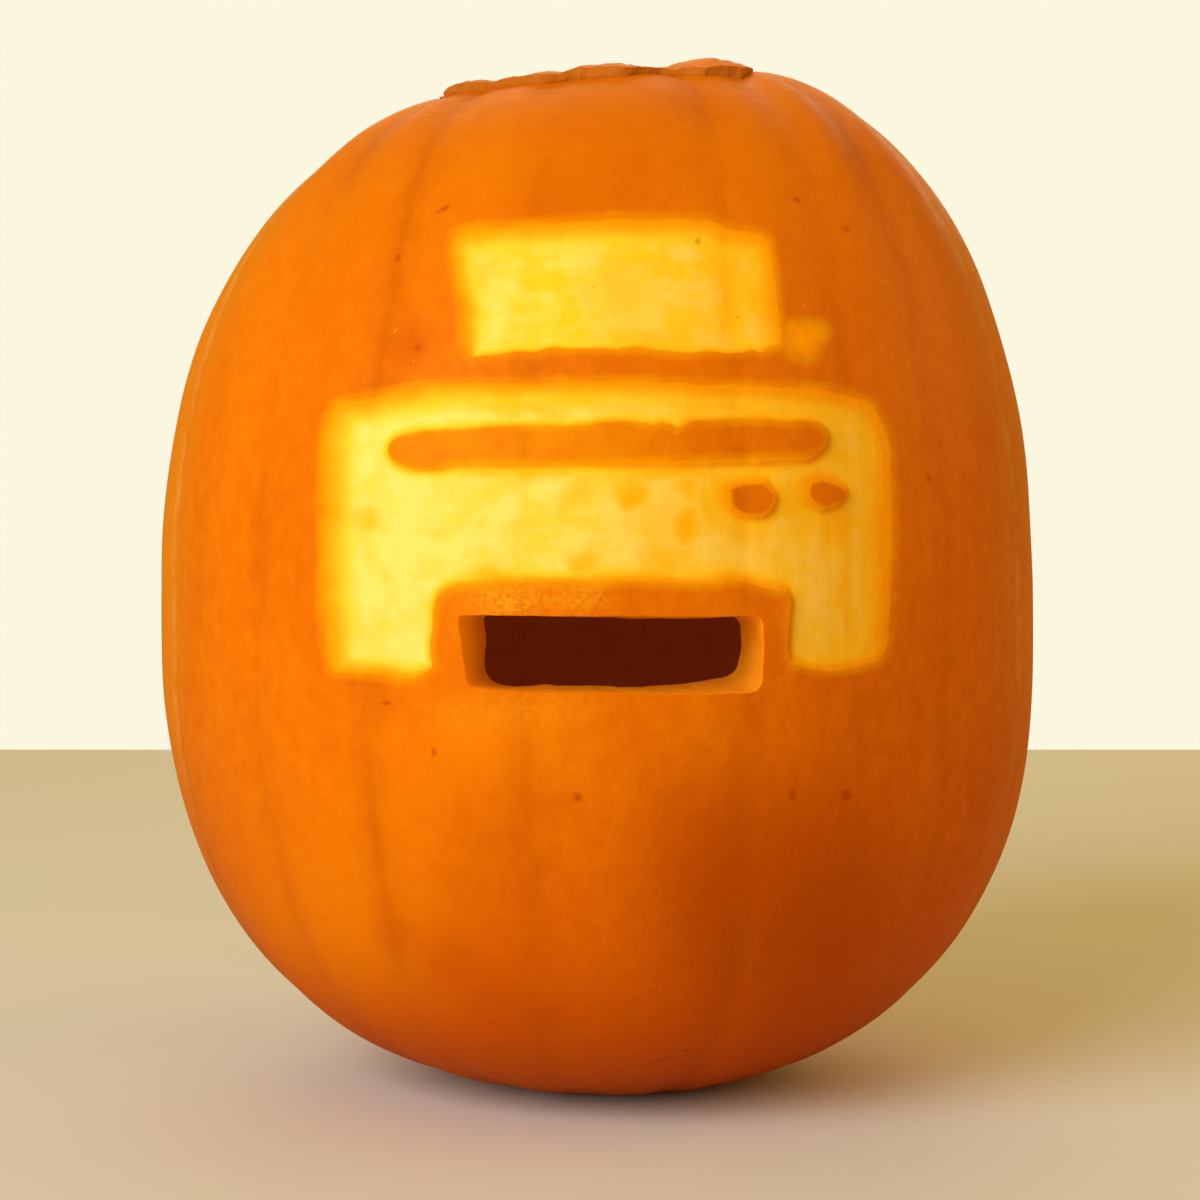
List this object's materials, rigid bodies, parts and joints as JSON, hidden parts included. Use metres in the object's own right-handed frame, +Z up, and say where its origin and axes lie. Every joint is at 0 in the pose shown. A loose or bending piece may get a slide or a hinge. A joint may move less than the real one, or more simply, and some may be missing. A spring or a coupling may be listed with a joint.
{
  "type": "carved pumpkin lantern",
  "caption": "Hollow ribbed pumpkin with a scraped picture of an office printer, a slot cut through its wall and its cut crown laid back as a lid.",
  "frame": {"origin": "on the ground, under the middle of the fruit", "axes": "+Z up, the carving faces -Y, +X to the right of someone who looks at the carving"},
  "size_m": [0.2505, 0.2506, 0.2919],
  "materials": {
    "pumpkin_skin": "waxy orange rind, satin, with pale yellow flesh where it is scraped",
    "crown_skin": "waxy orange rind with a dull dark orange knife cut and a corky stem scar"
  },
  "bodies": {
    "root": {"shell": "pumpkin_skin", "lid": "crown_skin"}
  },
  "joints": []
}
